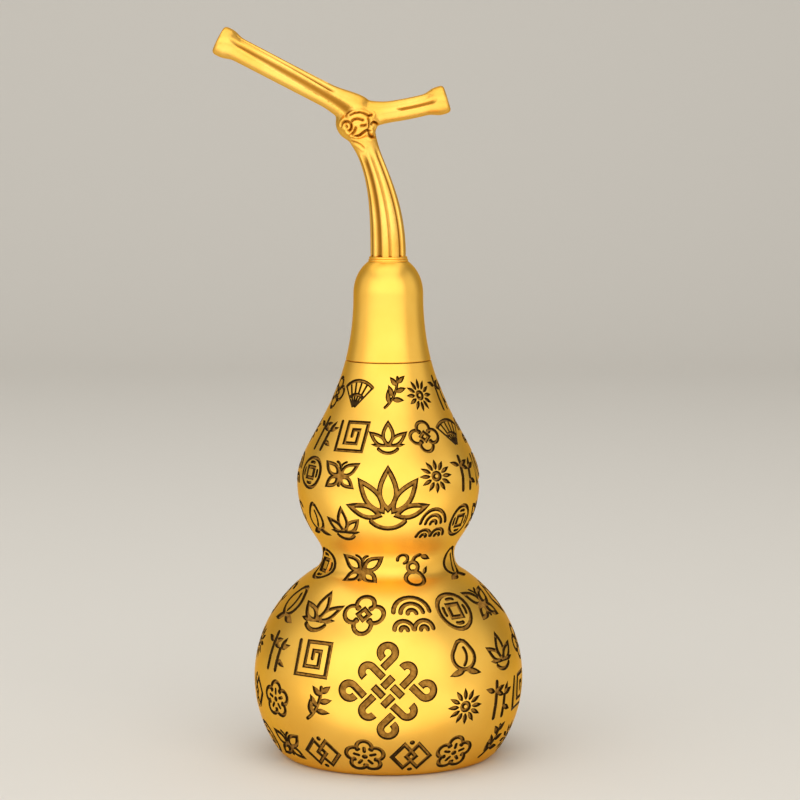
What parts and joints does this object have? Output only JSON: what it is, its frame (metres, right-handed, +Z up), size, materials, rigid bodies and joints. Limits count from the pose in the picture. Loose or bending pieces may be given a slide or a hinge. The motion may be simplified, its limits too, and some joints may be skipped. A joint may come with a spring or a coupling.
{
  "type": "gourd bottle",
  "caption": "Hollow cast brass gourd bottle with an ornamented two-bulb body, a screw-in lid and a forked vine stem as its handle, standing on a flat foot.",
  "frame": {"origin": "middle of the flat foot, on the surface that the bottle stands on", "axes": "+Z up along the bottle's axis; the forked stem lies in the XZ plane with its long arm towards -X; -Y is the front"},
  "size_m": [0.1241, 0.1086, 0.2927],
  "materials": {
    "satin_brass": "satin polished, with brown patina in the recessed ornament",
    "turned_brass": "turned on a lathe and threaded",
    "cast_brass": "cast and brushed, with brown patina in the grooves",
    "seal_rubber": "matt black",
    "zinc_steel": "zinc plated"
  },
  "bodies": {
    "bottle": {"body_shell": "satin_brass", "base_plate": "satin_brass"},
    "seal": {"seal_ring": "seal_rubber"},
    "lid": {"lid_shell": "satin_brass", "lid_plug": "turned_brass", "stem_collar": "satin_brass", "vine_stem": "cast_brass", "stem_stud": "zinc_steel", "stem_washer": "zinc_steel", "stem_nut": "zinc_steel"}
  },
  "joints": [
    {"name": "lid_rise", "type": "slide", "parent": "bottle", "child": "seal", "axis": [0, 0, 1], "range_m": [0, 0.01]},
    {"name": "lid_turn", "type": "hinge", "parent": "seal", "child": "lid", "pos_m": [0, 0, 0.1603], "axis": [0, 0, 1], "range_deg": [0, 1440]}
  ],
  "couplings": [
    {"joint": "lid_rise", "follows": "lid_turn", "m_per_rad": 0.00039788}
  ]
}
